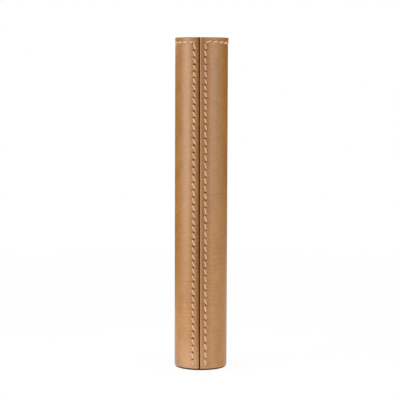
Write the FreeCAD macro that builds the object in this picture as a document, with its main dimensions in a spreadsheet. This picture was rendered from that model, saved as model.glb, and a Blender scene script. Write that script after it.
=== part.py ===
import FreeCAD, Part
import math
import os
import Sketcher

# A stitched leather fountain pen case: an upright tube, open at the mouth, closed by a base.
# Millimetres, +Z up the tube, origin at the middle of the underside, seam towards -Y.

Vector = FreeCAD.Vector
UP = Vector(0, 0, 1)
POINT_MATCH = 1e-4  # how near a point lies to where an edge is looked for
VOLUME_MATCH = 0.01  # share by which a volume may differ from the one worked out

# The driving dimensions, with what each one is
DRIVING = (
    ("case_height", 160.0, "from the surface it stands on to the mouth"),
    ("case_diameter", 25.5, "over the outer leather"),
    ("wrap_wall", 1.6, "outer leather"),
    ("core_wall", 1.0, "board core, and the leather strips in the same layer"),
    ("lining_wall", 0.7, "suede lining"),
    ("edge_round", 0.5, "burnished edge of the outer leather"),
    ("lining_round", 0.3, "worn inner edge of the lining at the mouth"),
    ("seam_gap", 0.5, "between the two lips of the butt seam"),
    ("seam_inset", 2.77, "from the middle of the seam to a stitch row, along the leather"),
    ("mouth_inset", 2.2, "from the mouth down to the stitch row around it"),
    ("foot_inset", 0.6, "least leather left below the last needle hole"),
    ("stitch_pitch", 3.4, "from one needle hole to the next"),
    ("thread_diameter", 0.7, "waxed linen thread"),
    ("thread_clearance", 0.05, "around the thread in its holes and channels"),
    ("strand_spread", 0.3, "across the row, between the two strands in a needle hole"),
    ("strand_step", 0.1, "along the row, between the two strands in a needle hole"),
    ("bend_inside", 0.05, "inner radius where the thread turns into a needle hole"),
    ("channel_depth", 0.45, "stitching groove in the outer leather"),
    ("facing_height", 5.0, "leather band inside the mouth"),
    ("backing_width", 9.0, "leather strip behind the seam"),
    ("strip_clearance", 0.1, "between that strip and the board core, each side"),
    ("sole_thickness", 0.8, "dark leather under the case"),
    ("sole_inset", 0.4, "from the outer leather in to the edge of the sole"),
    ("sole_round", 0.25, "lower edge of the sole"),
    ("board_thickness", 2.0, "base board"),
    ("floor_thickness", 0.8, "suede on the floor of the pen well"),
    ("disc_clearance", 0.1, "around the discs that close the tube"),
)

doc = FreeCAD.newDocument("pen_case")
sheet = doc.addObject("Spreadsheet::Sheet", "sizes")
for row, (alias, number, meaning) in enumerate(DRIVING, start=1):
    sheet.set(f"A{row}", alias)
    sheet.set(f"B{row}", str(number))
    sheet.set(f"C{row}", meaning)
    sheet.setAlias(f"B{row}", alias)
doc.recompute()


class Size:
    """A size that carries its value and the sheet expression that gives it."""

    def __init__(self, value, text):
        self.value = value
        self.text = text

    def __add__(self, other):
        return Size(self.value + other.value, f"({self.text} + {other.text})")

    def __sub__(self, other):
        return Size(self.value - other.value, f"({self.text} - {other.text})")

    def __mul__(self, factor):
        return Size(self.value * factor, f"({self.text} * {factor})")

    def __truediv__(self, divisor):
        return Size(self.value / divisor, f"({self.text} / {divisor})")


def size(alias):
    return Size(float(sheet.get(alias)), f"sizes.{alias}")


def plain(value):
    return Size(value, str(value))


def bind(feature, **sizes):
    """Tie a feature's properties to the sheet."""
    for name, amount in sizes.items():
        feature.setExpression(name, amount.text)


# Radii and levels that several pieces share
nothing = plain(0.0)
margin = plain(2.0)  # how far a cutting tool runs past the leather that it cuts
outer_radius = size("case_diameter") / 2
wrap_radius = outer_radius - size("wrap_wall")
core_radius = wrap_radius - size("core_wall")
well_radius = core_radius - size("lining_wall")
disc_radius = core_radius - size("disc_clearance")
mouth_level = size("case_height")
foot_level = size("sole_thickness")
facing_level = mouth_level - size("facing_height")
board_level = foot_level + size("board_thickness")
floor_level = board_level + size("floor_thickness")


def origin_plane(body, role):
    return next(plane for plane in body.Origin.OriginFeatures if plane.Role == role)


def new_sketch(body, name, role):
    sketch = body.newObject("Sketcher::SketchObject", name)
    sketch.AttachmentSupport = [(origin_plane(body, role), "")]
    sketch.MapMode = "FlatFace"
    return sketch


def hold_from_origin(sketch, kind, line, amount):
    """Hold the start of a line at a signed distance from the sketch's origin."""
    start, origin = (line, 1), (-1, 1)
    ends = (*origin, *start) if amount.value >= 0 else (*start, *origin)
    held = amount if amount.value >= 0 else nothing - amount
    index = sketch.addConstraint(Sketcher.Constraint(kind, *ends, held.value))
    sketch.setExpression(f"Constraints[{index}]", held.text)


def draw_polygon(sketch, corners):
    """Draw a closed polygon with every corner tied to the sheet."""
    points = [Vector(x.value, y.value, 0) for x, y in corners]
    count = len(points)
    for line in range(count):
        sketch.addGeometry(Part.LineSegment(points[line], points[(line + 1) % count]))
    for line in range(count):
        sketch.addConstraint(Sketcher.Constraint("Coincident", line, 2, (line + 1) % count, 1))
    for line, (x, y) in enumerate(corners):
        hold_from_origin(sketch, "DistanceX", line, x)
        hold_from_origin(sketch, "DistanceY", line, y)


def rectangle(left, right, bottom, top):
    return [(left, bottom), (right, bottom), (right, top), (left, top)]


def turned_body(name, inner, outer, bottom, top):
    """A tube turned from its rectangular section."""
    body = doc.addObject("PartDesign::Body", name)
    sketch = new_sketch(body, f"{name}_section", "XZ_Plane")
    draw_polygon(sketch, rectangle(inner, outer, bottom, top))
    turned = body.newObject("PartDesign::Revolution", f"{name}_turned")
    turned.Profile = sketch
    turned.ReferenceAxis = (sketch, ["V_Axis"])
    turned.Angle = 360
    doc.recompute()
    return body


def edges_at(shape, *tests):
    """Names of the edges whose two ends and middle all pass one of the tests."""
    names = []
    for index, edge in enumerate(shape.Edges, start=1):
        first, last = edge.ParameterRange
        points = [edge.valueAt(first), edge.valueAt((first + last) / 2), edge.valueAt(last)]
        if any(all(test(point) for point in points) for test in tests):
            names.append(f"Edge{index}")
    return names


def on_circle(radius, level):
    """A test for points on a level circle about the axis of the tube."""

    def test(point):
        off_radius = abs(math.hypot(point.x, point.y) - radius.value)
        return off_radius < POINT_MATCH and abs(point.z - level.value) < POINT_MATCH

    return test


def on_lip(point):
    """A test for points on the two outer edges of the seam."""
    off_lip = abs(abs(point.x) - size("seam_gap").value / 2)
    off_radius = abs(math.hypot(point.x, point.y) - outer_radius.value)
    return off_lip < POINT_MATCH and off_radius < POINT_MATCH and point.y < 0


def round_edges(body, name, radius, *tests):
    base = body.Tip
    rounded = body.newObject("PartDesign::Fillet", name)
    rounded.Base = (base, edges_at(base.Shape, *tests))
    bind(rounded, Radius=radius)
    doc.recompute()


def cylinder(name, radius, bottom, top):
    solid = doc.addObject("Part::Cylinder", name)
    bind(solid, Radius=radius, Height=top - bottom)
    solid.setExpression("Placement.Base.z", bottom.text)
    return solid


def box(name, width, depth, height, corner):
    """A box by its X, Y and Z lengths and its lowest corner."""
    solid = doc.addObject("Part::Box", name)
    bind(solid, Length=width, Width=depth, Height=height)
    for axis, amount in zip("xyz", corner):
        solid.setExpression(f"Placement.Base.{axis}", amount.text)
    return solid


def boolean(kind, name, base, tool):
    result = doc.addObject(f"Part::{kind}", name)
    result.Base = base
    result.Tool = tool
    return result


def tube(name, inner, outer, bottom, top):
    solid = cylinder(f"{name}_outside", outer, bottom, top)
    hollow = cylinder(f"{name}_inside", inner, bottom, top)
    return boolean("Cut", name, solid, hollow)


# Where the sewing runs: two rows beside the seam, one row round the mouth.
# Angles are measured from the front, anticlockwise as seen from above.
row_angle = size("seam_inset").value / outer_radius.value
stitch_level = mouth_level - size("mouth_inset")
pitch = size("stitch_pitch").value
stitch_lean = size("thread_diameter") + size("strand_spread")
leg_step = (size("thread_diameter") + size("strand_step")).value
thread_radius = size("thread_diameter") / 2
thread_bend = (thread_radius + size("bend_inside")).value
hole_radius = thread_radius + size("thread_clearance")
channel_width = stitch_lean + hole_radius * 2
groove_radius = outer_radius - size("channel_depth")
run_radius = groove_radius + thread_radius
punch_length = (outer_radius + margin - core_radius).value


class NeedleHole:
    """One awl slot: its place, and the ends of the two stitches that meet in it."""

    def __init__(self, angle, level, along, across):
        self.out = Vector(math.sin(angle), -math.cos(angle), 0)
        self.level = UP * level
        self.along = along
        self.across = across

    def stitch_end(self, radius):
        offset = self.across * (stitch_lean.value / 2) - self.along * (leg_step / 2)
        return self.level + self.out * radius + offset

    def stitch_start(self, radius):
        offset = self.along * (leg_step / 2) - self.across * (stitch_lean.value / 2)
        return self.level + self.out * radius + offset


def level_direction(angle):
    return Vector(math.cos(angle), math.sin(angle), 0)


def seam_row(angle):
    """The needle holes of a row beside the seam, from the mouth down."""
    lowest = foot_level.value + size("foot_inset").value
    count = math.floor((stitch_level.value - lowest) / pitch)
    levels = [stitch_level.value - pitch * index for index in range(count + 1)]
    return [NeedleHole(angle, level, -UP, level_direction(angle)) for level in levels]


def mouth_row():
    """The needle holes round the mouth, from the right corner to the left one."""
    turn = 2 * math.pi - 2 * row_angle
    count = round(turn * outer_radius.value / pitch)
    angles = [row_angle + turn * index / count for index in range(count + 1)]
    return [NeedleHole(angle, stitch_level.value, level_direction(angle), UP) for angle in angles]


def awl_slot(hole):
    """A slot through the leather, rounded at both ends, for the two legs of a hole."""
    inner, radius = core_radius.value, hole_radius.value
    start, end = hole.stitch_start(inner), hole.stitch_end(inner)
    length = (end - start).normalize()
    side = hole.out.cross(length) * radius
    outline = Part.Wire(
        [
            Part.makeLine(start - side, end - side),
            Part.Arc(end - side, end + length * radius, end + side).toShape(),
            Part.makeLine(end + side, start + side),
            Part.Arc(start + side, start - length * radius, start - side).toShape(),
        ]
    )
    return Part.Face(outline).extrude(hole.out * punch_length)


def round_hole(foot, out):
    """A hole for the single leg at the end of a row."""
    return Part.makeCylinder(hole_radius.value, punch_length, foot, out)


def awl_holes(row):
    first, last = row[0], row[-1]
    inner = core_radius.value
    first_leg = round_hole(first.stitch_start(inner), first.out)
    last_leg = round_hole(last.stitch_end(inner), last.out)
    return [first_leg, last_leg] + [awl_slot(hole) for hole in row[1:-1]]


right_row = seam_row(row_angle)
left_row = seam_row(-row_angle)
rim_row = mouth_row()

holes = doc.addObject("Part::Feature", "needle_holes")
holes.Shape = Part.makeCompound(awl_holes(right_row) + awl_holes(left_row) + awl_holes(rim_row))


def channels(name, inner, outer):
    """The grooves that the thread lies in, between two radii, along all three rows."""
    bottom = foot_level - margin
    ring_bottom, ring_top = stitch_level - channel_width / 2, stitch_level + channel_width / 2
    depth = outer - inner
    corner = (nothing - channel_width / 2, nothing - outer, bottom)
    cuts = []
    for side, angle in (("right", row_angle), ("left", -row_angle)):
        straight = box(f"{name}_{side}", channel_width, depth, ring_top - bottom, corner)
        turned = doc.addObject("Part::Compound", f"{name}_{side}_turned")
        turned.Links = [straight]
        turned.Placement = FreeCAD.Placement(Vector(), FreeCAD.Rotation(UP, math.degrees(angle)))
        cuts.append(turned)
    sector = math.degrees(2 * math.pi - 2 * row_angle)
    outside = cylinder(f"{name}_ring_outside", outer, ring_bottom, ring_top)
    outside.Angle = sector
    outside.Placement.Rotation = FreeCAD.Rotation(UP, math.degrees(row_angle) - 90)
    inside = cylinder(f"{name}_ring_inside", inner, ring_bottom, ring_top)
    cuts.append(boolean("Cut", f"{name}_ring", outside, inside))
    joined = doc.addObject("Part::MultiFuse", name)
    joined.Shapes = cuts
    return joined


def bow(radius, row, inwards):
    """How far a straight stitch round the mouth bows inside the circle of its ends."""
    step = (2 * math.pi - 2 * row_angle) / (len(row) - 1)
    reach = math.atan2(leg_step / 2, radius)
    return radius * (1 - math.cos(step / 2 + (reach if inwards else -reach)))


inner_bow = bow(core_radius.value, rim_row, True)
channel_half = hole_radius + plain(inner_bow / 2)
outer_channels = channels("outer_channels", groove_radius, outer_radius + margin)
inner_channels = channels("inner_channels", core_radius - channel_half, core_radius + channel_half)

# Outer leather: one sheet rolled into a tube, its two edges meeting at the front seam.
wrap = turned_body("wrap_blank", wrap_radius, outer_radius, foot_level, mouth_level)
uncut_volume = wrap.Shape.Volume
slit = new_sketch(wrap, "seam_slit", "XZ_Plane")
half_gap = size("seam_gap") / 2
draw_polygon(slit, rectangle(nothing - half_gap, half_gap, foot_level, mouth_level))
opened = wrap.newObject("PartDesign::Pocket", "seam_opened")
opened.Profile = slit
opened.Type = "ThroughAll"
opened.Reversed = True
doc.recompute()
slit_volume = size("seam_gap").value * size("wrap_wall").value * (mouth_level - foot_level).value
taken = uncut_volume - wrap.Shape.Volume
if abs(taken - slit_volume) > VOLUME_MATCH * slit_volume or wrap.Shape.CenterOfGravity.y < 0:
    raise RuntimeError(f"the seam took {taken:.1f} mm3 instead of {slit_volume:.1f} at the front")
round_edges(
    wrap,
    "burnished_edges",
    size("edge_round"),
    on_circle(outer_radius, foot_level),
    on_circle(outer_radius, mouth_level),
    on_lip,
)
grooved_wrap = boolean("Cut", "grooved_wrap", wrap, outer_channels)
outer_wrap = boolean("Cut", "outer_wrap", grooved_wrap, holes)


def front_slab(name, width):
    """A slab from the axis out through the front, as tall as the board core."""
    corner = (nothing - width / 2, nothing - outer_radius, foot_level)
    return box(name, width, outer_radius, facing_level - foot_level, corner)


# Layer behind the leather: a board core, open at the front, with a leather strip behind
# the seam and a leather band inside the mouth, so that the needle never meets the board.
strip_width = size("backing_width")
core_blank = tube("core_blank", core_radius, wrap_radius, foot_level, facing_level)
core_opening = front_slab("core_opening", strip_width + size("strip_clearance") * 2)
core_tube = boolean("Cut", "core_tube", core_blank, core_opening)

strip_blank = tube("strip_blank", core_radius, wrap_radius, foot_level, facing_level)
strip = boolean("Common", "strip", strip_blank, front_slab("strip_limits", strip_width))
grooved_strip = boolean("Cut", "grooved_strip", strip, inner_channels)
backing_strip = boolean("Cut", "seam_backing_strip", grooved_strip, holes)

facing_blank = tube("facing_blank", core_radius, wrap_radius, facing_level, mouth_level)
grooved_facing = boolean("Cut", "grooved_facing", facing_blank, inner_channels)
facing = boolean("Cut", "mouth_facing_band", grooved_facing, holes)

# Suede lining, glued in last, standing on the floor, with the backs of the stitches
# pressed into it.
lining_blank = turned_body("lining_blank", well_radius, core_radius, floor_level, mouth_level)
round_edges(
    lining_blank,
    "lining_worn_edge",
    size("lining_round"),
    on_circle(well_radius, mouth_level),
)
lining = boolean("Cut", "lining_sleeve", lining_blank, inner_channels)

# Base: a board and a suede disc inside the core, notched for the backs of the stitches,
# and a dark leather sole under the whole tube.
board_blank = cylinder("board_blank", disc_radius, foot_level, board_level)
base_board = boolean("Cut", "base_board", board_blank, inner_channels)
floor_blank = cylinder("floor_blank", disc_radius, board_level, floor_level)
floor_disc = boolean("Cut", "floor_lining_disc", floor_blank, inner_channels)
sole_radius = outer_radius - size("sole_inset")
sole = turned_body("base_sole", nothing, sole_radius, nothing, foot_level)
round_edges(sole, "sole_lower_edge", size("sole_round"), on_circle(sole_radius, nothing))


def rounded_path(points):
    """A wire through the points with every corner turned on the thread's bend radius."""
    edges = []
    reached = points[0]
    for before, corner, after in zip(points, points[1:], points[2:]):
        back = (before - corner).normalize()
        on = (after - corner).normalize()
        half = back.getAngle(on) / 2
        middle = (back + on).normalize()
        tangent = thread_bend / math.tan(half)
        arc_start, arc_end = corner + back * tangent, corner + on * tangent
        arc_top = corner + middle * (thread_bend / math.sin(half) - thread_bend)
        edges += [Part.makeLine(reached, arc_start), Part.Arc(arc_start, arc_top, arc_end).toShape()]
        reached = arc_end
    edges.append(Part.makeLine(reached, points[-1]))
    return Part.Wire(edges)


def needle_thread(row, first, outer, inner):
    """One needle's thread: outside over every second stitch, inside under the others."""
    points = []
    for start, end in zip(row[first:-1:2], row[first + 1 :: 2]):
        points += [start.stitch_start(inner), start.stitch_start(outer)]
        points += [end.stitch_end(outer), end.stitch_end(inner)]
    path = rounded_path(points)
    section = Part.Wire(Part.makeCircle(thread_radius.value, points[0], row[first].out))
    thread = path.makePipeShell([section], True, False)
    expected = math.pi * thread_radius.value**2 * path.Length
    if not thread.isValid() or abs(thread.Volume - expected) > VOLUME_MATCH * expected:
        raise RuntimeError(f"a thread holds {thread.Volume:.2f} mm3 instead of {expected:.2f}")
    return thread


def saddle_stitch(name, row, outer, inner):
    """A row sewn with two needles from one length of thread."""
    sewn = doc.addObject("Part::Feature", name)
    sewn.Shape = Part.makeCompound([needle_thread(row, first, outer, inner) for first in (0, 1)])
    return sewn


over, under = run_radius.value, core_radius.value
rim_over = over + bow(over, rim_row, False)
rim_under = under + inner_bow / 2
right_thread = saddle_stitch("right_seam_thread", right_row, over, under)
left_thread = saddle_stitch("left_seam_thread", left_row, over, under)
rim_thread = saddle_stitch("mouth_thread", rim_row, rim_over, rim_under)

# The pieces that make up the case, each with the number of solids in it
PIECES = (
    (outer_wrap, 1),
    (core_tube, 1),
    (backing_strip, 1),
    (facing, 1),
    (lining, 1),
    (base_board, 1),
    (floor_disc, 1),
    (sole, 1),
    (right_thread, 2),
    (left_thread, 2),
    (rim_thread, 2),
)

doc.recompute()
failed = [item.Name for item in doc.Objects if {"Invalid", "Error"} & set(item.State)]
if failed:
    raise RuntimeError(f"failed features: {failed}")
for piece, solids in PIECES:
    shape = piece.Shape
    if shape.isNull() or not shape.isValid() or len(shape.Solids) != solids:
        raise RuntimeError(f"{piece.Label} is not {solids} valid solids")

os.makedirs("parts", exist_ok=True)
for piece, solids in PIECES:
    piece.Shape.exportStep(f"parts/{piece.Label}.step")
    print(f"{piece.Label}: {piece.Shape.Volume:.1f} mm3")
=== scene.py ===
import math
import random

import bmesh
import bpy
from mathutils import Matrix, Vector
from mathutils.kdtree import KDTree


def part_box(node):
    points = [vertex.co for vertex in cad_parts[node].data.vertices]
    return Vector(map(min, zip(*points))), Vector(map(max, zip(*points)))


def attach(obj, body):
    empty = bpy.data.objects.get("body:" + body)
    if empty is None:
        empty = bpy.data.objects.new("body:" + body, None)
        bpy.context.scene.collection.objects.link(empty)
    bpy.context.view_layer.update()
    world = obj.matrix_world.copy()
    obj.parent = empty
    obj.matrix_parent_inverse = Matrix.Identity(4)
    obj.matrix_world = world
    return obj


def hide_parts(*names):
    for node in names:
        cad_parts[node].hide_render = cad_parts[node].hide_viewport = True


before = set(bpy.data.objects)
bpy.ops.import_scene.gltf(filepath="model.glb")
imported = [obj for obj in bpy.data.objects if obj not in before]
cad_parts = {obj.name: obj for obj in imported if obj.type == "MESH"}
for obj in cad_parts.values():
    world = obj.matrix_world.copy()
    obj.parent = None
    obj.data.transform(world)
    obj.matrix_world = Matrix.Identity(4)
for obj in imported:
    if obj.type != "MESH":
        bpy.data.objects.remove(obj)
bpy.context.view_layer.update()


# Core tube: grey millboard rolled into a tube, with its edges kept apart at the front so that
# a needle can pass beside it. It is glued to the back of the leather and keeps the case round.
MM = 0.001
board_pale = (158, 149, 136)
board_dark = (124, 115, 103)
board_gloss = 0.25
board_fibres = 1900.0
board_roughness = (0.78, 0.95)
board_bump = (0.5, 0.08 * MM)
patches_per_metre = 110.0
tone_lift = 0.25
fibre_tones = (0.35, 0.65)


def screen_colour(red, green, blue):
    """The shader colour that a screen shows as these 8-bit values."""
    parts = [value / 255 for value in (red, green, blue)]
    linear = [p / 12.92 if p <= 0.04045 else ((p + 0.055) / 1.055) ** 2.4 for p in parts]
    return (*linear, 1.0)


def add_node(tree, kind, inputs, **settings):
    """A node whose inputs are given as values or as the sockets that feed them."""
    node = tree.nodes.new(kind)
    for setting, value in settings.items():
        setattr(node, setting, value)
    for name, value in inputs.items():
        if isinstance(value, bpy.types.NodeSocket):
            tree.links.new(value, node.inputs[name])
        else:
            node.inputs[name].default_value = value
    return node


def mix_colours(tree, share, first, second, blend="MIX"):
    """The colour between two others, given as sockets or as shader colours."""
    inputs = {0: share, 6: first, 7: second}
    return add_node(tree, "ShaderNodeMix", inputs, data_type="RGBA", blend_type=blend).outputs[2]


def two_tones(tree, share, dark, pale):
    """The colour between a dark and a pale screen colour."""
    return mix_colours(tree, share, screen_colour(*dark), screen_colour(*pale))


def spread(tree, value, low, high, span=(0.0, 1.0)):
    """A value stretched from the given span to run from low to high."""
    inputs = {"Value": value, "From Min": span[0], "From Max": span[1], "To Min": low, "To Max": high}
    return add_node(tree, "ShaderNodeMapRange", inputs).outputs["Result"]


def new_group(name, inputs, outputs):
    """An empty shader group with its input and output nodes."""
    group = bpy.data.node_groups.new(name, "ShaderNodeTree")
    for socket, kind in inputs.items():
        group.interface.new_socket(socket, in_out="INPUT", socket_type=kind)
    for socket in outputs:
        group.interface.new_socket(socket, in_out="OUTPUT", socket_type="NodeSocketFloat")
    given = add_node(group, "NodeGroupInput", {})
    result = add_node(group, "NodeGroupOutput", {})
    return group, given.outputs, result


def grouped(tree, group, **values):
    """A group placed in a material over Object coordinates, with its values set."""
    place = add_node(tree, "ShaderNodeTexCoord", {}).outputs["Object"]
    node = add_node(tree, "ShaderNodeGroup", {}, node_tree=group)
    tree.links.new(place, node.inputs["Vector"])
    for name, value in values.items():
        node.inputs[name.replace("_", " ")].default_value = value
    return node.outputs


def new_material(name, **constants):
    """A material with a Principled shader whose plain constants are set on its own sockets."""
    material = bpy.data.materials.new(name)
    material.use_nodes = True
    shader = material.node_tree.nodes["Principled BSDF"]
    for socket, value in constants.items():
        shader.inputs[socket.replace("_", " ")].default_value = value
    return material, material.node_tree, shader.inputs


def raise_surface(tree, height, strength, depth):
    """A normal bumped by a height that stands for this depth in metres."""
    inputs = {"Height": height, "Strength": strength, "Distance": depth}
    return add_node(tree, "ShaderNodeBump", inputs).outputs["Normal"]


def feed_shader(tree, shader, colour, roughness, normal):
    """Links what changes over the surface to the shader of a material."""
    tree.links.new(colour, shader["Base Color"])
    tree.links.new(roughness, shader["Roughness"])
    tree.links.new(normal, shader["Normal"])


def make_fibre_group():
    """Short matted fibres: a height for bump, and a tone that drifts over the surface."""
    sockets = {"Vector": "NodeSocketVector", "Fibres per metre": "NodeSocketFloat"}
    group, given, result = new_group("matted_fibre", sockets, ("Height", "Tone"))
    place = given["Vector"]
    fine = {"Vector": place, "Scale": given["Fibres per metre"], "Detail": 6.0, "Roughness": 0.7}
    height = add_node(group, "ShaderNodeTexNoise", fine).outputs["Fac"]
    patches = {"Vector": place, "Scale": patches_per_metre, "Detail": 3.0, "Distortion": 0.6}
    drift = add_node(group, "ShaderNodeTexNoise", patches).outputs["Fac"]
    both = {0: height, 1: drift, 2: tone_lift}
    tone = add_node(group, "ShaderNodeMath", both, operation="MULTIPLY_ADD").outputs["Value"]
    group.links.new(height, result.inputs["Height"])
    group.links.new(tone, result.inputs["Tone"])
    return group


matted_fibre = make_fibre_group()


def make_board():
    """Grey board, pressed from pulp."""
    material, tree, shader = new_material("grey_board", Specular_IOR_Level=board_gloss)
    pulp = grouped(tree, matted_fibre, Fibres_per_metre=board_fibres)
    tone = spread(tree, pulp["Tone"], 0.0, 1.0, fibre_tones)
    colour = two_tones(tree, tone, board_dark, board_pale)
    roughness = spread(tree, pulp["Height"], *board_roughness)
    normal = raise_surface(tree, pulp["Height"], *board_bump)
    feed_shader(tree, shader, colour, roughness, normal)
    return material


grey_board = make_board()


def dress_node(name, material):
    """Gives a solid that stays in view its finish."""
    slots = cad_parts[name].data.materials
    slots.clear()
    slots.append(material)


dress_node("core_tube", grey_board)


# Seam backing: a strip of split leather that fills the opening in the board tube. Both rows of stitches go
# through it, and it shows as the bottom of the slit. Its near-black red-brown is painted shade, so that the
# slit shows dark along its whole length.
band_radius = 11.15 * MM
band_wall = 1.0 * MM
strip_half = 4.5 * MM
strip_steps = 16
strip_round = (0.12 * MM, 2)
# Painted shade: the backing's near-black red-brown keeps the slit dark.
slit_shade_pale = (126, 44, 2)
slit_shade_dark = (82, 24, 1)
split_gloss = 0.05
split_fibres = 2400.0
split_roughness = (0.62, 0.85)
split_bump = (0.45, 0.06 * MM)
bends_per_metre = 260.0
bend_reach = 1.2 * MM
cells_per_metre = (150, 150, 1000)
groove_share = 0.2
clouds_per_metre = 75.0
sharp_angle = math.radians(50)
level_slack = 1e-6
turn_slack = 1e-6
weld_reach = 1e-7


def make_grain_group():
    """Leather grain: pores, long cells round the tube with grooves between them, and a mottled tone."""
    sockets = {
        "Vector": "NodeSocketVector",
        "Pores per metre": "NodeSocketFloat",
        "Ridges": "NodeSocketFloat",
    }
    group, given, result = new_group("leather_grain", sockets, ("Height", "Tone", "Crest"))
    place = given["Vector"]
    cells = {"Vector": place, "Scale": given["Pores per metre"], "Randomness": 0.9}
    pores = add_node(group, "ShaderNodeTexVoronoi", cells, feature="SMOOTH_F1").outputs["Distance"]
    bends = {"Vector": place, "Scale": bends_per_metre, "Detail": 2.0}
    bend = add_node(group, "ShaderNodeTexNoise", bends).outputs["Color"]
    bent = {0: bend, 1: [bend_reach] * 3, 2: place}
    wavy = add_node(group, "ShaderNodeVectorMath", bent, operation="MULTIPLY_ADD").outputs["Vector"]
    stretched = {"Vector": wavy, "Scale": cells_per_metre}
    around = add_node(group, "ShaderNodeMapping", stretched).outputs["Vector"]
    long_cells = {"Vector": around, "Scale": 1.0, "Randomness": 1.0}
    ridges = add_node(group, "ShaderNodeTexVoronoi", long_cells, feature="DISTANCE_TO_EDGE")
    crest = spread(group, ridges.outputs["Distance"], 0.0, 1.0, (0.0, groove_share))
    weighed = {0: crest, 1: given["Ridges"], 2: pores}
    height = add_node(group, "ShaderNodeMath", weighed, operation="MULTIPLY_ADD").outputs["Value"]
    cloud = {"Vector": place, "Scale": clouds_per_metre, "Detail": 5.0, "Roughness": 0.6, "Distortion": 0.4}
    tone = add_node(group, "ShaderNodeTexNoise", cloud).outputs["Fac"]
    group.links.new(height, result.inputs["Height"])
    group.links.new(tone, result.inputs["Tone"])
    group.links.new(crest, result.inputs["Crest"])
    return group


leather_grain = make_grain_group()


def make_split_leather(name, pale, dark):
    """Leather with its fibres showing, where it was split or cut."""
    material, tree, shader = new_material(name, Specular_IOR_Level=split_gloss)
    grain = grouped(tree, leather_grain)
    nap = grouped(tree, matted_fibre, Fibres_per_metre=split_fibres)
    tone = spread(tree, nap["Tone"], 0.0, 1.0, fibre_tones)
    colour = two_tones(tree, tone, dark, pale)
    roughness = spread(tree, grain["Tone"], *split_roughness)
    normal = raise_surface(tree, nap["Height"], *split_bump)
    feed_shader(tree, shader, colour, roughness, normal)
    return material


backing_leather = make_split_leather("backing_leather", slit_shade_pale, slit_shade_dark)


def spun_ring(inner, outer, low, high, steps, start=0.0, turn=math.tau):
    """A band turned about the tube's axis from its cut section, from the front unless told."""
    band = bmesh.new()
    corners = ((inner, low), (outer, low), (outer, high), (inner, high))
    section = [band.verts.new((0, -radius, level)) for radius, level in corners]
    face = band.faces.new(section)
    bmesh.ops.rotate(band, matrix=Matrix.Rotation(start, 3, "Z"), verts=band.verts)
    whole = turn > math.tau - turn_slack
    if whole:
        geometry = list(face.edges)
        bmesh.ops.delete(band, geom=[face], context="FACES_ONLY")
    else:
        geometry = [face]
    turned = {"axis": (0, 0, 1), "cent": (0, 0, 0), "angle": turn, "steps": steps}
    bmesh.ops.spin(band, geom=geometry, use_merge=whole, **turned)
    bmesh.ops.remove_doubles(band, verts=band.verts, dist=weld_reach)
    bmesh.ops.recalc_face_normals(band, faces=band.faces)
    return band


def soften_edges(mesh, edges, radius, segments):
    """Rounds the chosen edges of a mesh in the making."""
    settings = {"offset_type": "OFFSET", "affect": "EDGES", "profile": 0.5, "material": -1}
    bmesh.ops.bevel(mesh, geom=list(edges), offset=radius, segments=segments, **settings)


def sharp_edges(mesh, level=None):
    """The square edges of a mesh, or those that lie at one level."""
    mesh.normal_update()
    square = [e for e in mesh.edges if e.is_manifold and e.calc_face_angle() > sharp_angle]
    if level is None:
        return square
    return [e for e in square if all(abs(v.co.z - level) < level_slack for v in e.verts)]


def add_piece(name, mesh, finishes, slot, *nodes):
    """Finishes a mesh as a piece that rides on the case and stands for its solids."""
    for face in mesh.faces:
        face.smooth = True
    for edge in sharp_edges(mesh):
        edge.smooth = False
    data = bpy.data.meshes.new(name)
    mesh.to_mesh(data)
    mesh.free()
    for material in finishes:
        data.materials.append(material)
    piece = bpy.data.objects.new(name, data)
    bpy.context.scene.collection.objects.link(piece)
    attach(piece, "root")
    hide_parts(*nodes)
    return piece


strip_low, strip_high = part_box("seam_backing_strip")
strip_turn = 2 * math.asin(strip_half / band_radius)
strip = spun_ring(
    band_radius - band_wall,
    band_radius,
    strip_low.z,
    strip_high.z,
    strip_steps,
    -strip_turn / 2,
    strip_turn,
)
soften_edges(strip, sharp_edges(strip), *strip_round)
add_piece("seam_backing", strip, [backing_leather], "backing_leather", "seam_backing_strip")


# Mouth facing: a band of paler split leather, glued inside the mouth above the board so that
# the row round the mouth is sewn through leather only. Its top edge shows beside the lining.
facing_round = (0.12 * MM, 3)
facing_pale = (152, 104, 62)
facing_dark = (120, 78, 42)
ring_steps = 120

facing_low, facing_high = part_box("mouth_facing_band")
facing = spun_ring(band_radius - band_wall, band_radius, facing_low.z, facing_high.z, ring_steps)
soften_edges(facing, sharp_edges(facing, facing_high.z), *facing_round)
facing_leather = make_split_leather("facing_leather", facing_pale, facing_dark)
add_piece("mouth_facing", facing, [facing_leather], "backing_leather", "mouth_facing_band")


# Outer leather: one sheet of straight-grained tan leather, cut flat, holed with an awl and rolled
# round the core. The sewing draws its two edges together and presses a furrow under each stitch.
# Its edges are rounded and burnished, and its left lip is dull. Painted shade darkens its left lip, its
# holes, the strip right of the seam, the outer side of the right row and its mouth rim. Painted highlights
# pale its right lip, its foot edge and its foot at the left front.
case_radius = 12.75 * MM
wrap_wall = 1.6 * MM
wrap_low, wrap_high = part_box("outer_wrap")
girth = math.tau * case_radius
sheet_columns = 80
sheet_rows = 150
sewn_cuts = 3
seam_band = 4.9 * MM
mouth_band = 4.4 * MM
seam_gap = 0.53 * MM
seam_drift = 0.28 * MM
seam_taper = 0.025 * MM
edge_round = 0.17 * MM
edge_segments = 3
press_depth = 1.2 * MM
flat_slack = 1e-7
flat_enough = 0.99
mouth_flare = (0.16 * MM, 0.1 * MM)
flare_height = 3.4 * MM
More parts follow.
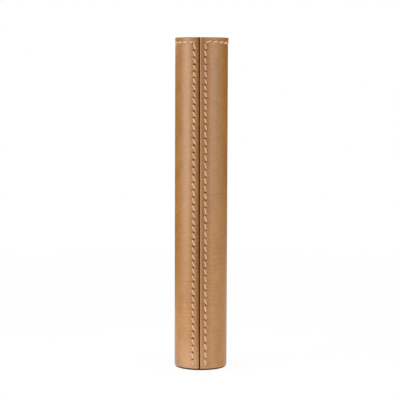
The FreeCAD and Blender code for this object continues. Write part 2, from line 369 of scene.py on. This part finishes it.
# The rows of stitches. Each sway gives shares of a row and how far up, in mm, it is off there.
stitch_drop = 2.2 * MM
stitch_level = wrap_high.z - stitch_drop
stitch_pitch = 3.4 * MM
left_stitches = 46
right_stitches = 44
mouth_stitches = 22
left_inset = (2.55 * MM, 3.33 * MM)
right_inset = (2.9 * MM, 2.78 * MM)
left_lean = 1.3 * MM
right_lean = 0.75 * MM
mouth_lean = (0.6 * MM, 0.15 * MM)
leg_step = 0.45 * MM
mouth_leg_step = 0.3 * MM
left_sway = (
    (0.0, -0.45),
    (0.05, -0.65),
    (0.29, 2.0),
    (0.36, 1.9),
    (0.53, 0.6),
    (0.62, 1.0),
    (0.84, 0.9),
    (1.0, 0.3),
)
right_sway = ((0.0, -0.4), (0.1, -0.35), (0.3, 2.1), (0.4, 0.75), (0.6, -1.4), (0.93, -4.5), (1.03, -6.6))
mouth_sway = ((0.0, 0.15), (0.17, -0.35), (0.4, 0.0), (0.8, -0.1), (1.0, -0.2))
stitch_wander = 0.08 * MM
side_wander = 0.13 * MM
row_samples = 12
sewing = random.Random(7)
# What the sewing presses into the sheet.
valley_depth = 0.12 * MM
valley_half = 1.0 * MM
furrow_depth = 0.3 * MM
furrow_half = 0.45 * MM
hole_depths = {"left_seam_thread": 0.65 * MM, "right_seam_thread": 0.65 * MM, "mouth_thread": 0.25 * MM}
hole_half = 0.34 * MM
hole_span = (0.22, 0.78)
left_sink = 0.4 * MM
right_sink = 0.1 * MM
lip_reach = 1.5 * MM
# Painted shade, burnish and painted highlights, most in bands. A band is its strength, how far in from the
# edge it lies and its half width.
# Painted shade in the holes, random in strength, fainter low on the case.
hole_shade_strengths = {"left_seam_thread": 1.0, "right_seam_thread": 1.25, "mouth_thread": 0.15}
hole_shade_range = (0.5, 1.3)
hole_shade_half = 0.38 * MM
hole_fade = ((0.0, 0.4), (0.2, 1.0), (1.0, 1.0))
faint_hole = 0.4
# Painted shade along the left lip, on the strip right of the seam, beside the right row and on the mouth
# rim, with the lip shade changing up the case. Edge burnish on the rounded edges.
left_lip_shade = (0.5, 0.75 * MM, 0.85 * MM)
right_strip_shade = (0.35, 1.4 * MM, 0.8 * MM)
right_row_shade = (0.16, 4.0 * MM, 0.7 * MM)
rim_shade = (0.45, 0.0 * MM, 0.4 * MM)
lip_shade_along = ((0.0, 0.35), (0.06, 0.5), (0.13, 1.0), (0.35, 1.28), (0.55, 0.95), (1.0, 1.0))
edge_stain = 0.3
# Painted highlights: the right lip's edge, a band along the foot edge, and a patch low at the left front.
right_lip_highlight = (0.85, 0.0 * MM, 0.38 * MM)
foot_edge_light = (0.45, 0.0 * MM, 0.8 * MM)
foot_highlight = (0.7, 0.0 * MM, 8.0 * MM)
foot_highlight_middle = -4.0 * MM
foot_highlight_half = 7.8 * MM
# Where the skin is cut through or dull.
skin_finish, raw_finish, dull_finish = range(3)
# The left lip takes the dark cut-edge colour on more of its rounding than the right lip, as painted shade.
left_cut_slope = 0.5
right_cut_slope = 0.8
lip_dull = 0.5 * MM
hole_raw = 0.18 * MM
hole_dull = 0.34 * MM
# Colours and surface of the skin, its burnish and painted shade, its painted highlights and its cut edges.
tan_pale = (175, 122, 57)
tan_deep = (161, 108, 48)
# The colour of burnish and painted shade.
tan_burnish_and_shade = (80, 28, 2)
# The colour of the painted highlights.
tan_highlight = (202, 155, 115)
# Cut edges: dark edge dye, made darker still as painted shade in the slit and at the bottoms of the holes.
edge_dye_and_shade_pale = (112, 40, 2)
edge_dye_and_shade_dark = (78, 25, 1)
skin_gloss = 0.68
dull_gloss = 0.15
tan_pores = 2300.0
tan_ridges = 0.8
tan_roughness = (0.35, 0.43)
tan_bump = (0.5, 0.08 * MM)
cloud_tones = (0.3, 0.7)
groove_shade = 0.22
# Fibrous patches that break up the burnish and painted shade, and the roughness they add.
darkening_fibres = 1100.0
darkening_heights = (0.3, 0.7)
darkening_patches = (0.2, 1.8)
darkening_roughness = 0.4


def value_along(steps, share):
    """The value at a share of a length, between the steps given along it."""
    for (before, low), (after, high) in zip(steps, steps[1:]):
        if share <= after:
            return low + (high - low) * (share - before) / (after - before)
    return steps[-1][1]


def between(ends, share):
    """The value at a share of the way from one value to another."""
    return ends[0] * (1 - share) + ends[1] * share


def wander():
    """How far the two ends of a stitch stray across and along the sheet."""
    return [sewing.uniform(-reach, reach) for reach in (side_wander, stitch_wander) * 2]


def seam_row(side, insets, lean, stitches, sways):
    """Where the stitches down one side of the seam start and end, on the flat sheet."""
    shares = [count / (stitches - 1) for count in range(stitches + 1)]
    sunk = [value_along(sways, share) * MM - count * stitch_pitch for count, share in enumerate(shares)]
    row = []
    for share, top, low in zip(shares, sunk, sunk[1:]):
        across = side + between(insets, share)
        drift = wander()
        first = stitch_level + top - leg_step / 2
        last = stitch_level + low + leg_step / 2
        start = Vector((across - lean / 2 + drift[0], first + drift[1], 0))
        end = Vector((across + lean / 2 + drift[2], last + drift[3], 0))
        row.append((start, end))
    return row


def mouth_row():
    """The same for the row round the mouth, from the right of the seam to its left."""
    row = []
    pitch = (girth - right_inset[0] - left_inset[0]) / mouth_stitches
    for count in range(mouth_stitches):
        share = count / (mouth_stitches - 1)
        first = right_inset[0] + count * pitch + mouth_leg_step / 2
        last = first + pitch - mouth_leg_step
        lean = between(mouth_lean, share)
        level = stitch_level + value_along(mouth_sway, share) * MM
        drift = wander()
        start = Vector((first + drift[0], level - lean / 2 + drift[1], 0))
        end = Vector((last + drift[2], level + lean / 2 + drift[3], 0))
        row.append((start, end))
    return row


left_side = [-inset for inset in left_inset]
stitch_rows = {
    "right_seam_thread": seam_row(0.0, right_inset, right_lean, right_stitches, right_sway),
    "left_seam_thread": seam_row(girth, left_side, left_lean, left_stitches, left_sway),
    "mouth_thread": mouth_row(),
}


def rolled(point):
    """A point of the flat sheet, with its height above it, once the sheet is rolled up."""
    footward = 1 - 2 * point.y / wrap_high.z
    rightward = 1 - 2 * point.x / girth
    angle = (point.x + footward * (seam_drift + seam_taper * rightward)) / case_radius
    radius = case_radius + point.z
    return Vector((radius * math.sin(angle), -radius * math.cos(angle), point.y))


def flare_at(flat):
    """How far the mouth flares at a point of the flat sheet."""
    flare = mouth_flare[0] + mouth_flare[1] * math.sin(flat.x / case_radius)
    return flare * max(0.0, 1 - ((wrap_high.z - flat.y) / flare_height) ** 2)


def points_between(first, last):
    """Evenly spaced points from one place on the sheet to another."""
    return [first.lerp(last, step / row_samples) for step in range(row_samples + 1)]


def find_near(points):
    """A finder of the nearest of some points."""
    finder = KDTree(len(points))
    for count, point in enumerate(points):
        finder.insert(point, count)
    finder.balance()
    return finder


def hump(distance, half):
    """A smooth hump, 1 high in the middle."""
    return math.exp(-((distance / half) ** 2))


hole_points, hole_shades, hole_pits, thread_points = [], [], [], []
# Each hole gets painted shade of random strength, fainter low on the case.
for node, row in stitch_rows.items():
    ends = [row[0][0], *[end for _, end in row]]
    starts = [*[start for start, _ in row], row[-1][1]]
    for end, start in zip(ends, starts):
        places = points_between(end.lerp(start, hole_span[0]), end.lerp(start, hole_span[1]))
        darkening = hole_shade_strengths[node] * sewing.uniform(*hole_shade_range)
        hole_points += places
        hole_shades += [darkening * value_along(hole_fade, end.y / wrap_high.z)] * len(places)
        hole_pits += [hole_depths[node]] * len(places)
    for start, end in row:
        thread_points += points_between(start, end)
hole_finder = find_near(hole_points)
thread_finder = find_near(thread_points)


def border_reach(point):
    """How far a point of the flat sheet is from the nearer lip, the mouth and the foot."""
    lips = min(point.x - seam_gap / 2, girth - seam_gap / 2 - point.x)
    return lips, wrap_high.z - point.y, point.y - wrap_low.z


def mark(distance, strength, middle, half):
    """How strongly a band of painted shade, burnish or painted highlight shows at a distance from the edge
    it follows.
    """
    return strength * hump(distance - middle, half)


def press_sheet(mesh):
    """Presses the sewing into the flat sheet and marks the burnish and painted shade that darken its
    colour, and the painted highlights that pale it.
    """
    burnish_and_shade = mesh.verts.layers.float.new("burnish_and_shade")
    painted_light = mesh.verts.layers.float.new("painted_light")
    for vert in mesh.verts:
        flat = Vector((vert.co.x, vert.co.y, 0))
        left = flat.x > girth / 2
        lips, mouth, foot = border_reach(flat)
        _, hole_count, hole_reach = hole_finder.find(flat)
        thread_reach = thread_finder.find(flat)[2]
        pressed = (
            valley_depth * hump(thread_reach, valley_half),
            furrow_depth * hump(thread_reach, furrow_half),
            hole_pits[hole_count] * hump(hole_reach, hole_half),
        )
        sink = (left_sink if left else right_sink) * max(0.0, 1 - lips / lip_reach) ** 2
        rise = flare_at(flat) - max(pressed) - sink
        cut = min(1.0, -vert.co.z / edge_round) ** 2
        from_seam = flat.x - girth if left else flat.x
        # A painted highlight low on the case at its left front.
        highlit = mark(foot, *foot_highlight) * hump(from_seam - foot_highlight_middle, foot_highlight_half)
        lip_shade = mark(lips, *(left_lip_shade if left else right_strip_shade))
        # Darkening: burnish on the rounded edges, at full strength on the left lip's rounding as painted
        # shade, then painted shade in the holes, along the lips, beside the right row and on the mouth rim.
        shades_and_burnish = (
            cut if left and lips < edge_round else edge_stain * cut,
            hole_shades[hole_count] * hump(hole_reach, hole_shade_half) * (1 - highlit),
            lip_shade * value_along(lip_shade_along, flat.y / wrap_high.z),
            0.0 if left else mark(lips, *right_row_shade),
            mark(mouth, *rim_shade),
        )
        # Paling: a painted highlight on the right lip's edge, painted light along the foot edge and a
        # painted highlight low at the left front.
        highlights = (0.0 if left else mark(lips, *right_lip_highlight), mark(foot, *foot_edge_light), highlit)
        vert[burnish_and_shade] = max(shades_and_burnish)
        vert[painted_light] = max(highlights)
        vert.co.z += rise * max(0.0, 1 + vert.co.z / press_depth)


def choose_finish(face):
    """Which finish a face of the flat sheet has: its skin, a raw cut in dark edge dye and painted shade, or
    dull burnished skin.
    """
    middle = face.calc_center_median()
    lips, _, _ = border_reach(middle)
    _, hole_count, hole_reach = hole_finder.find(middle)
    torn = face.normal.z > flat_enough and hole_shades[hole_count] > faint_hole
    cut = face.normal.x > left_cut_slope or face.normal.x < -right_cut_slope
    if cut or (torn and hole_reach < hole_raw):
        return raw_finish
    left_lip = face.normal.z > 0 and middle.x > girth / 2 and lips < lip_dull
    if left_lip or (torn and hole_reach < hole_dull):
        return dull_finish
    return skin_finish


def make_outer_leather():
    """The sheet of leather, cut to size, with finer faces where it is sewn, pressed and rolled up."""
    sheet = bmesh.new()
    bmesh.ops.create_grid(sheet, x_segments=sheet_columns, y_segments=sheet_rows, size=0.5)
    width, height = girth - seam_gap, wrap_high.z - wrap_low.z
    bmesh.ops.scale(sheet, vec=(width, height, 1), verts=sheet.verts)
    middle = (girth / 2, (wrap_high.z + wrap_low.z) / 2, 0)
    bmesh.ops.translate(sheet, vec=middle, verts=sheet.verts)
    bmesh.ops.solidify(sheet, geom=sheet.faces[:], thickness=wrap_wall)
    rim = [e for e in sharp_edges(sheet) if all(abs(v.co.z) < flat_slack for v in e.verts)]
    soften_edges(sheet, rim, edge_round, edge_segments)
    sheet.normal_update()
    sewn = set()
    for face in sheet.faces:
        lips, mouth, _ = border_reach(face.calc_center_median())
        if face.normal.z > flat_enough and (lips < seam_band or mouth < mouth_band):
            sewn.update(face.edges)
    bmesh.ops.subdivide_edges(sheet, edges=list(sewn), cuts=sewn_cuts, use_grid_fill=True)
    bmesh.ops.triangulate(sheet, faces=[f for f in sheet.faces if len(f.verts) > 4])
    sheet.normal_update()
    for face in sheet.faces:
        face.material_index = choose_finish(face)
    press_sheet(sheet)
    for vert in sheet.verts:
        vert.co = rolled(vert.co)
    bmesh.ops.recalc_face_normals(sheet, faces=sheet.faces)
    return sheet


def read_mark(tree, name):
    """A mark kept on the points of a piece."""
    return add_node(tree, "ShaderNodeAttribute", {}, attribute_name=name).outputs["Fac"]


def combine(tree, operation, *values):
    """Values put through one sum, kept between 0 and 1."""
    inputs = dict(enumerate(values))
    return add_node(tree, "ShaderNodeMath", inputs, operation=operation, use_clamp=True).outputs["Value"]


def make_tan_leather(name, gloss):
    """Straight-grained tan skin, darker in its grooves, with painted highlights, burnish and painted shade
    where marked.
    """
    material, tree, shader = new_material(name, Specular_IOR_Level=gloss)
    grain = grouped(tree, leather_grain, Pores_per_metre=tan_pores, Ridges=tan_ridges)
    fibre = grouped(tree, matted_fibre, Fibres_per_metre=darkening_fibres)
    tone = spread(tree, grain["Tone"], 0.0, 1.0, cloud_tones)
    skin = two_tones(tree, tone, tan_deep, tan_pale)
    grooves = spread(tree, grain["Crest"], groove_shade, 0.0)
    lined = mix_colours(tree, grooves, skin, screen_colour(*tan_deep), "MULTIPLY")
    highlit = mix_colours(tree, read_mark(tree, "painted_light"), lined, screen_colour(*tan_highlight))
    patches = spread(tree, fibre["Height"], *darkening_patches, darkening_heights)
    darkening = combine(tree, "MULTIPLY", read_mark(tree, "burnish_and_shade"), patches)
    colour = mix_colours(tree, darkening, highlit, screen_colour(*tan_burnish_and_shade))
    satin = spread(tree, grain["Tone"], *tan_roughness, cloud_tones)
    roughness = combine(tree, "MULTIPLY_ADD", darkening, darkening_roughness, satin)
    normal = raise_surface(tree, grain["Height"], *tan_bump)
    feed_shader(tree, shader, colour, roughness, normal)
    return material


tan_leather = make_tan_leather("tan_leather", skin_gloss)
cut_edge_and_shade = make_split_leather("cut_edge_and_shade", edge_dye_and_shade_pale, edge_dye_and_shade_dark)
dull_leather = make_tan_leather("dull_leather", dull_gloss)
finishes = (tan_leather, cut_edge_and_shade, dull_leather)
add_piece("outer_leather", make_outer_leather(), finishes, "tan_leather", "outer_wrap")


# Stitching: three-ply waxed linen thread, saddle-stitched with two needles, so that every other stitch
# outside belongs to the same strand. Each stitch sinks a little into the leather. It is darkened with
# painted shade where it goes down into its hole, and soiled where it is handled.
thread_radius = 0.41 * MM
thread_lift = -0.15 * MM
thread_crown = 0.05 * MM
thread_plies = 3
ply_points = 3
ply_groove = 0.74
ply_crest = 1.0
twist_pitch = 2.1 * MM
stitch_rings = 8
stitch_inset = 0.04
bow_squareness = 0.4
leg_levels = (-0.75 * MM, -2.35 * MM)
strand_weld = 1e-8
# Painted shade on the thread, from this depth below the leather down into its hole.
hole_shade_depth = (0.05 * MM, 0.5 * MM)
handling = ((0.0, 0.0), (0.03, 0.0), (0.09, 0.12), (0.6, 0.0), (0.97, 0.0), (0.98, 0.05))
linen_pale = (241, 204, 171)
linen_dark = (218, 176, 139)
# The colour of the painted shade and the soil on the thread.
linen_shade_and_soil = (128, 68, 24)
linen_gloss = 0.2
linen_fibres = 4200.0
linen_roughness = (0.48, 0.7)
linen_bump = (0.4, 0.04 * MM)


def make_ply_outline():
    """The lobed section of a thread laid up from its plies."""
    outline = bpy.data.curves.new("ply_outline", "CURVE")
    outline.dimensions = "2D"
    spline = outline.splines.new("POLY")
    spline.points.add(thread_plies * ply_points - 1)
    for count, point in enumerate(spline.points):
        angle = math.tau * count / len(spline.points)
        radius = thread_radius * (ply_groove if count % ply_points == 0 else ply_crest)
        point.co = (radius * math.cos(angle), radius * math.sin(angle), 0, 1)
    spline.use_cyclic_u = True
    return bpy.data.objects.new("ply_outline", outline)


def stitch_path(start, end):
    """The flat path of one stitch: up through its first hole, across and down through the next."""
    path = [start + Vector((0, 0, level)) for level in reversed(leg_levels)]
    for count in range(stitch_rings + 1):
        share = count / stitch_rings
        bow = math.sin(math.pi * share) ** bow_squareness
        lift = thread_lift + thread_crown * bow - (1 - bow) * thread_radius
        point = start.lerp(end, between((stitch_inset, 1 - stitch_inset), share))
        path.append(point + Vector((0, 0, lift + flare_at(point))))
    path += [end + Vector((0, 0, level)) for level in leg_levels]
    return path


def twisted_path(start, end):
    """The rolled path of one stitch, with the turn of its plies, which is whole over the stitch."""
    path = [rolled(point) for point in stitch_path(start, end)]
    steps = [(after - before).length for before, after in zip(path, path[1:])]
    turns = round(sum(steps) / twist_pitch)
    shares = [sum(steps[:count]) / sum(steps) for count in range(len(path))]
    return [(point, math.tau * turns * share) for point, share in zip(path, shares)]


def shade_and_soil_thread(thread):
    """Marks where the thread is darkened: painted shade down in its hole, and soil where it is handled."""
    shade_and_soil = thread.verts.layers.float.new("shade_and_soil")
    for vert in thread.verts:
        depth = case_radius - vert.co.xy.length
        in_hole = (depth - hole_shade_depth[0]) / (hole_shade_depth[1] - hole_shade_depth[0])
        handled = value_along(handling, vert.co.z / wrap_high.z)
        vert[shade_and_soil] = min(1.0, max(0.0, in_hole, handled))


def make_thread(row, outline):
    """Both strands of a row, as one mesh."""
    curve = bpy.data.curves.new("strands", "CURVE")
    curve.dimensions = "3D"
    curve.bevel_mode = "OBJECT"
    curve.bevel_object = outline
    curve.use_fill_caps = True
    for needle in (0, 1):
        strand = [place for start, end in row[needle::2] for place in twisted_path(start, end)]
        spline = curve.splines.new("POLY")
        spline.points.add(len(strand) - 1)
        for point, (place, twist) in zip(spline.points, strand):
            point.co = (*place, 1)
            point.tilt = twist
    strands = bpy.data.objects.new("strands", curve)
    bpy.context.scene.collection.objects.link(strands)
    bpy.context.view_layer.update()
    swept = strands.evaluated_get(bpy.context.evaluated_depsgraph_get())
    data = bpy.data.meshes.new_from_object(swept)
    thread = bmesh.new()
    thread.from_mesh(data)
    bmesh.ops.remove_doubles(thread, verts=thread.verts, dist=strand_weld)
    bmesh.ops.recalc_face_normals(thread, faces=thread.faces)
    shade_and_soil_thread(thread)
    bpy.data.objects.remove(strands)
    bpy.data.curves.remove(curve)
    bpy.data.meshes.remove(data)
    return thread


def make_linen():
    """Waxed linen, darkened by painted shade in its holes and by soil where it is handled."""
    material, tree, shader = new_material("linen_thread", Specular_IOR_Level=linen_gloss)
    fibre = grouped(tree, matted_fibre, Fibres_per_metre=linen_fibres)
    tone = spread(tree, fibre["Tone"], 0.0, 1.0, fibre_tones)
    clean = two_tones(tree, tone, linen_dark, linen_pale)
    colour = mix_colours(tree, read_mark(tree, "shade_and_soil"), clean, screen_colour(*linen_shade_and_soil))
    roughness = spread(tree, fibre["Height"], *linen_roughness)
    normal = raise_surface(tree, fibre["Height"], *linen_bump)
    feed_shader(tree, shader, colour, roughness, normal)
    return material


linen_thread = make_linen()
ply_outline = make_ply_outline()
bpy.context.scene.collection.objects.link(ply_outline)
for node, row in stitch_rows.items():
    thread = make_thread(row, ply_outline)
    add_piece(node.replace("thread", "stitching"), thread, [linen_thread], "linen_thread", node)
bpy.data.curves.remove(ply_outline.data)


# Base board: a disc of the same grey millboard, glued into the foot of the tube to close it.
# The suede floor and the sole cover both its faces.
dress_node("base_board", grey_board)


# Floor of the pen well: a disc of soft brown suede, glued nap up on the base board. Its rim is
# cut by hand and softly rounded.
floor_round = (0.3 * MM, 3)
disc_sides = 96
suede_pale = (150, 106, 70)
suede_dark = (104, 68, 42)
suede_gloss = 0.15
suede_sheen = {"Sheen_Weight": 0.2, "Sheen_Roughness": 0.5}
suede_fibres = 3000.0
suede_roughness = (0.85, 1.0)
suede_bump = (0.7, 0.1 * MM)


def turned_disc(low, high, radius):
    """A flat round disc between two levels."""
    disc = bmesh.new()
    settings = {"cap_ends": True, "segments": disc_sides, "radius1": radius, "radius2": radius}
    bmesh.ops.create_cone(disc, depth=high - low, **settings)
    bmesh.ops.translate(disc, vec=(0, 0, (low + high) / 2), verts=disc.verts)
    return disc


def make_suede():
    """Napped suede with a faint sheen."""
    material, tree, shader = new_material("suede", Specular_IOR_Level=suede_gloss, **suede_sheen)
    nap = grouped(tree, matted_fibre, Fibres_per_metre=suede_fibres)
    brushed = spread(tree, nap["Tone"], 0.0, 1.0, fibre_tones)
    colour = two_tones(tree, brushed, suede_dark, suede_pale)
    roughness = spread(tree, nap["Height"], *suede_roughness)
    normal = raise_surface(tree, nap["Height"], *suede_bump)
    feed_shader(tree, shader, colour, roughness, normal)
    return material


suede = make_suede()
floor_low, floor_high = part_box("floor_lining_disc")
floor_disc = turned_disc(floor_low.z, floor_high.z, floor_high.x)
soften_edges(floor_disc, sharp_edges(floor_disc, floor_high.z), *floor_round)
add_piece("floor_lining", floor_disc, [suede], "suede", "floor_lining_disc")


# Lining: suede glued inside the board tube with its nap towards the pen, from the floor to the
# mouth, where its cut edge is rolled over a little.
lining_wall = 0.7 * MM
lining_round = (0.3 * MM, 4)

lining_low, lining_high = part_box("lining_sleeve")
lining = spun_ring(lining_high.x - lining_wall, lining_high.x, lining_low.z, lining_high.z, ring_steps)
soften_edges(lining, sharp_edges(lining, lining_high.z), *lining_round)
add_piece("lining", lining, [suede], "suede", "lining_sleeve")


# Sole: a thin disc of dark brown leather, glued under the foot of the case after it is sewn. It stands a
# little inside the tan leather and shows as a dark line under it. Its colour is made darker still as a
# painted shadow, the contact shadow under the foot.
sole_round = (0.25 * MM, 3)
# Dark brown leather, darkened further as a painted contact shadow.
sole_and_shadow_pale = (60, 42, 28)
sole_and_shadow_dark = (36, 24, 16)
sole_gloss = 0.35
sole_pores = 1700.0
sole_ridges = 0.2
sole_roughness = (0.38, 0.52)
sole_bump = (0.5, 0.08 * MM)


def make_dark_leather():
    """Smooth leather dyed dark brown, made darker still as a painted shadow."""
    material, tree, shader = new_material("dark_leather", Specular_IOR_Level=sole_gloss)
    grain = grouped(tree, leather_grain, Pores_per_metre=sole_pores, Ridges=sole_ridges)
    tone = spread(tree, grain["Tone"], 0.0, 1.0, cloud_tones)
    colour = two_tones(tree, tone, sole_and_shadow_dark, sole_and_shadow_pale)
    roughness = spread(tree, grain["Tone"], *sole_roughness, cloud_tones)
    normal = raise_surface(tree, grain["Height"], *sole_bump)
    feed_shader(tree, shader, colour, roughness, normal)
    return material


sole_low, sole_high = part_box("base_sole")
sole = turned_disc(sole_low.z, sole_high.z, sole_high.x)
soften_edges(sole, sharp_edges(sole, sole_low.z), *sole_round)
add_piece("sole", sole, [make_dark_leather()], "dark_leather", "base_sole")


# Studio: a white floor that keeps a faint shadow and white all round, soft boxes at both sides,
# behind and above, two small lights low by the foot, and two black cards out of view that keep
# the edges of the case dark.
floor_half = 3.0
floor_drop = 0.02 * MM
floor_white = 0.72
floor_glow = 0.92
shadow_reach = (0.1, 0.5)
room_level = 0.25
pure_white = (1, 1, 1, 1)
camera_bearing = math.radians(3.2)
aim_level = 0.08
# Bearing from the camera in degrees, distance, level and size in metres, and power in watts.
lamps = {
    "left_softbox": (-65, 0.32, 0.13, (0.2, 0.32), 0.755),
    "right_softbox": (50, 0.9, 0.22, (0.6, 0.8), 4.6),
    "back_softbox": (180, 0.9, 0.27, (0.6, 0.8), 3.0),
    "top_softbox": (0, 0.0, 0.5, (0.12, 0.12), 2.3),
    "left_foot_light": (-50, 0.036, 0.006, (0.05, 0.01), 0.0034),
    "right_foot_light": (30, 0.05, 0.008, (0.05, 0.012), 0.003),
}
# Bearing from the camera in degrees, and distance, width and height in metres.
cards = {
    "left_card": (-135, 0.2, 0.336, 0.16),
    "right_card": (134, 0.5, 0.65, 0.3),
}
card_shade = (0.03, 0.03, 0.03, 1)
card_roughness = 0.9


def light_paths(tree):
    """1 where the eye sees a surface directly, in a reflection or through glass."""
    rays = add_node(tree, "ShaderNodeLightPath", {}).outputs
    seen = rays["Is Camera Ray"]
    for way in ("Is Glossy Ray", "Is Transmission Ray"):
        either = {0: seen, 1: rays[way]}
        seen = add_node(tree, "ShaderNodeMath", either, operation="MAXIMUM").outputs["Value"]
    return seen


def add_stage(name, mesh, material):
    """A studio surface that isn't part of the case."""
    data = bpy.data.meshes.new(name)
    mesh.to_mesh(data)
    mesh.free()
    data.materials.append(material)
    surface = bpy.data.objects.new(name, data)
    bpy.context.scene.collection.objects.link(surface)
    return surface


def add_floor():
    """A matt white floor that glows white to the eye, less so near the case, where its shadow shows."""
    material, tree, _ = new_material("white_floor")
    tree.nodes.clear()
    place = add_node(tree, "ShaderNodeTexCoord", {}).outputs["Object"]
    away = add_node(tree, "ShaderNodeVectorMath", {0: place}, operation="LENGTH").outputs["Value"]
    glow_share = spread(tree, away, floor_glow, 1.0, shadow_reach)
    shown = {0: light_paths(tree), 1: glow_share}
    share = add_node(tree, "ShaderNodeMath", shown, operation="MULTIPLY").outputs["Value"]
    matt = add_node(tree, "ShaderNodeBsdfDiffuse", {"Color": (floor_white, floor_white, floor_white, 1)})
    glow = add_node(tree, "ShaderNodeEmission", {"Color": pure_white, "Strength": 1.0})
    both = add_node(tree, "ShaderNodeMixShader", {0: share, 1: matt.outputs[0], 2: glow.outputs[0]})
    add_node(tree, "ShaderNodeOutputMaterial", {"Surface": both.outputs[0]})
    mesh = bmesh.new()
    bmesh.ops.create_grid(mesh, x_segments=1, y_segments=1, size=floor_half)
    bmesh.ops.translate(mesh, vec=(0, 0, -floor_drop), verts=mesh.verts)
    add_stage("studio_floor", mesh, material)


def make_room():
    """White all round to the eye, and a softer white as light."""
    world = bpy.data.worlds.new("white_room")
    world.use_nodes = True
    tree = world.node_tree
    tree.nodes.clear()
    level = spread(tree, light_paths(tree), room_level, 1.0)
    white = add_node(tree, "ShaderNodeBackground", {"Color": pure_white, "Strength": level})
    add_node(tree, "ShaderNodeOutputWorld", {"Surface": white.outputs[0]})
    return world


def stand_at(bearing, distance, level):
    """A place at a bearing to the right of the camera, as seen from the case."""
    turn = camera_bearing + math.radians(bearing)
    return Vector((distance * math.sin(turn), -distance * math.cos(turn), level))


def add_lamp(name, bearing, distance, level, size, power):
    """A soft box or a small flat light, aimed at the middle of the case."""
    light = bpy.data.lights.new(name, "AREA")
    light.shape = "RECTANGLE"
    light.size, light.size_y = size
    light.energy = power
    lamp = bpy.data.objects.new(name, light)
    lamp.location = stand_at(bearing, distance, level)
    aim = Vector((0, 0, aim_level)) - lamp.location
    lamp.rotation_euler = aim.to_track_quat("-Z", "Y").to_euler()
    lamp.visible_camera = False
    bpy.context.scene.collection.objects.link(lamp)


def add_card(name, material, bearing, distance, width, height):
    """A black card on the floor, square to the case, that the camera can't see and that casts no shadow."""
    mesh = bmesh.new()
    bmesh.ops.create_grid(mesh, x_segments=1, y_segments=1, size=0.5)
    bmesh.ops.scale(mesh, vec=(width, height, 1), verts=mesh.verts)
    upright = Matrix.Rotation(math.pi / 2, 4, "X")
    turn = Matrix.Rotation(camera_bearing + math.radians(bearing), 4, "Z")
    place = Matrix.Translation(stand_at(bearing, distance, height / 2)) @ turn @ upright
    bmesh.ops.transform(mesh, matrix=place, verts=mesh.verts)
    card = add_stage(name, mesh, material)
    card.visible_camera = False
    card.visible_shadow = False


add_floor()
bpy.context.scene.world = make_room()
for name, values in lamps.items():
    add_lamp(name, *values)
card_black, _, _ = new_material("black_card", Base_Color=card_shade, Roughness=card_roughness)
for name, values in cards.items():
    add_card(name, card_black, *values)


# Camera: level with the upper part of the case, a little to the right of its seam and tipped
# down to its middle, with a long lens.
camera_distance = 0.6786
camera_height = 0.1384
camera_pitch = math.radians(-4.79)
camera_yaw = math.radians(0.045)
camera_roll = math.radians(0.2)
camera_lens = 125.85
camera_sensor = 36.0
camera_near = 0.01

lens = bpy.data.cameras.new("photo_camera")
lens.lens = camera_lens
lens.sensor_fit = "HORIZONTAL"
lens.sensor_width = camera_sensor
lens.clip_start = camera_near
camera = bpy.data.objects.new("photo_camera", lens)
turned = Matrix.Rotation(camera_bearing + camera_yaw, 4, "Z")
tipped = Matrix.Rotation(math.pi / 2 + camera_pitch, 4, "X")
leaned = Matrix.Rotation(camera_roll, 4, "Z")
stand = Matrix.Translation(stand_at(0, camera_distance, camera_height))
camera.matrix_world = stand @ turned @ tipped @ leaned
bpy.context.scene.collection.objects.link(camera)
bpy.context.scene.camera = camera
bpy.context.scene.view_settings.view_transform = "Standard"
